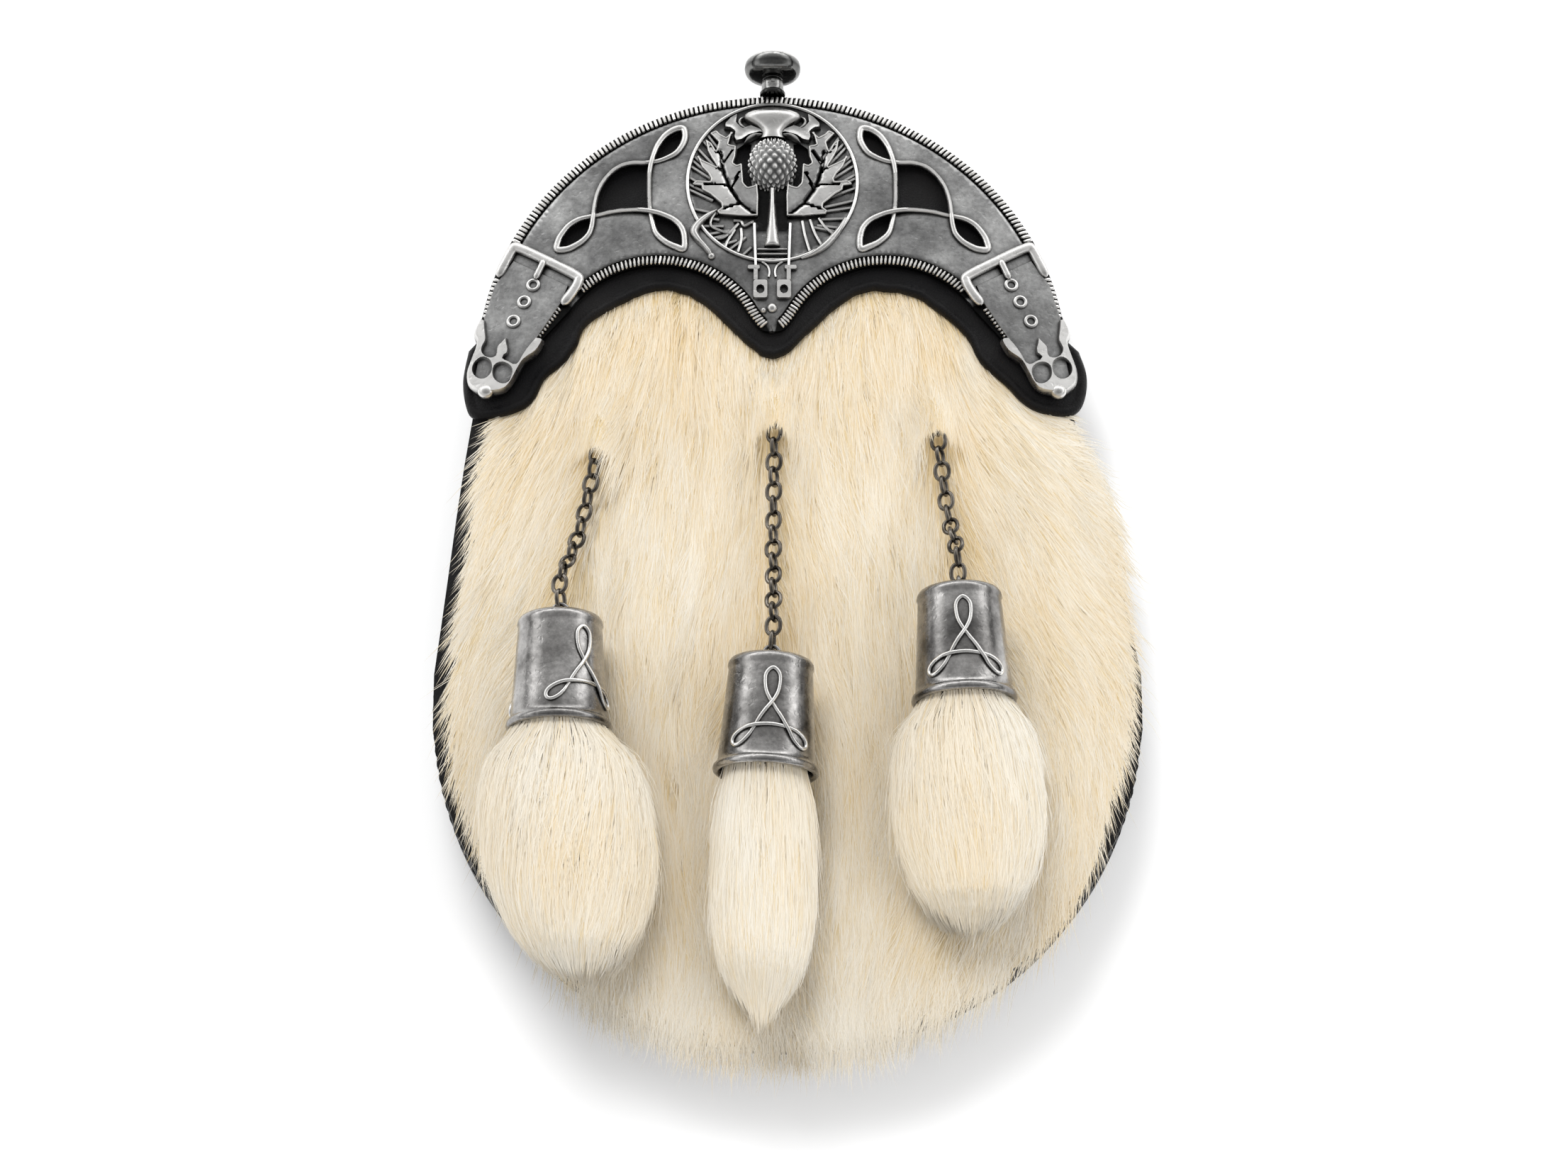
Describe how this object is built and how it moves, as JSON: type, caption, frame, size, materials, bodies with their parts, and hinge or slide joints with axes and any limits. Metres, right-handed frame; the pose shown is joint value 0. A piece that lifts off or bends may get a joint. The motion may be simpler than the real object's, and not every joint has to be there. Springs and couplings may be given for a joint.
{
  "type": "fur sporran pouch",
  "caption": "Dress sporran pouch lying on its back: pale long-haired fur front, pierced pewter crescent cantle with thistle and knots, knob on top, hair tassels in metal cones on chains.",
  "frame": {"origin": "middle of the pouch's plan outline, on the surface that it lies on", "axes": "+X to the right of the front, +Y up the pouch to the cantle, +Z out of the front, away from the surface"},
  "size_m": [0.1768, 0.264, 0.0655],
  "materials": {
    "black_leather": "smooth black, satin, with a polished cut edge",
    "fur": "long straight cream hair with tan shading",
    "pewter": "antique pewter, mottled, polished on the high places and dark in the low ones",
    "gunmetal": "dark polished gunmetal"
  },
  "bodies": {
    "root": {"gusset": "black_leather", "back_panel": "black_leather", "back_flap": "black_leather", "flap_stud": "gunmetal", "belt_loop_left": "black_leather", "belt_loop_right": "black_leather", "front_wall": "black_leather", "fur_coat": "fur", "cantle_trim": "black_leather", "cantle": "pewter", "finial_knob": "gunmetal", "chain_staple_left": "gunmetal", "chain_staple_middle": "gunmetal", "chain_staple_right": "gunmetal", "chain_left": "gunmetal", "chain_middle": "gunmetal", "chain_right": "gunmetal", "cone_left": "pewter", "cone_middle": "pewter", "cone_right": "pewter", "tassel_left": "fur", "tassel_middle": "fur", "tassel_right": "fur"}
  },
  "joints": []
}
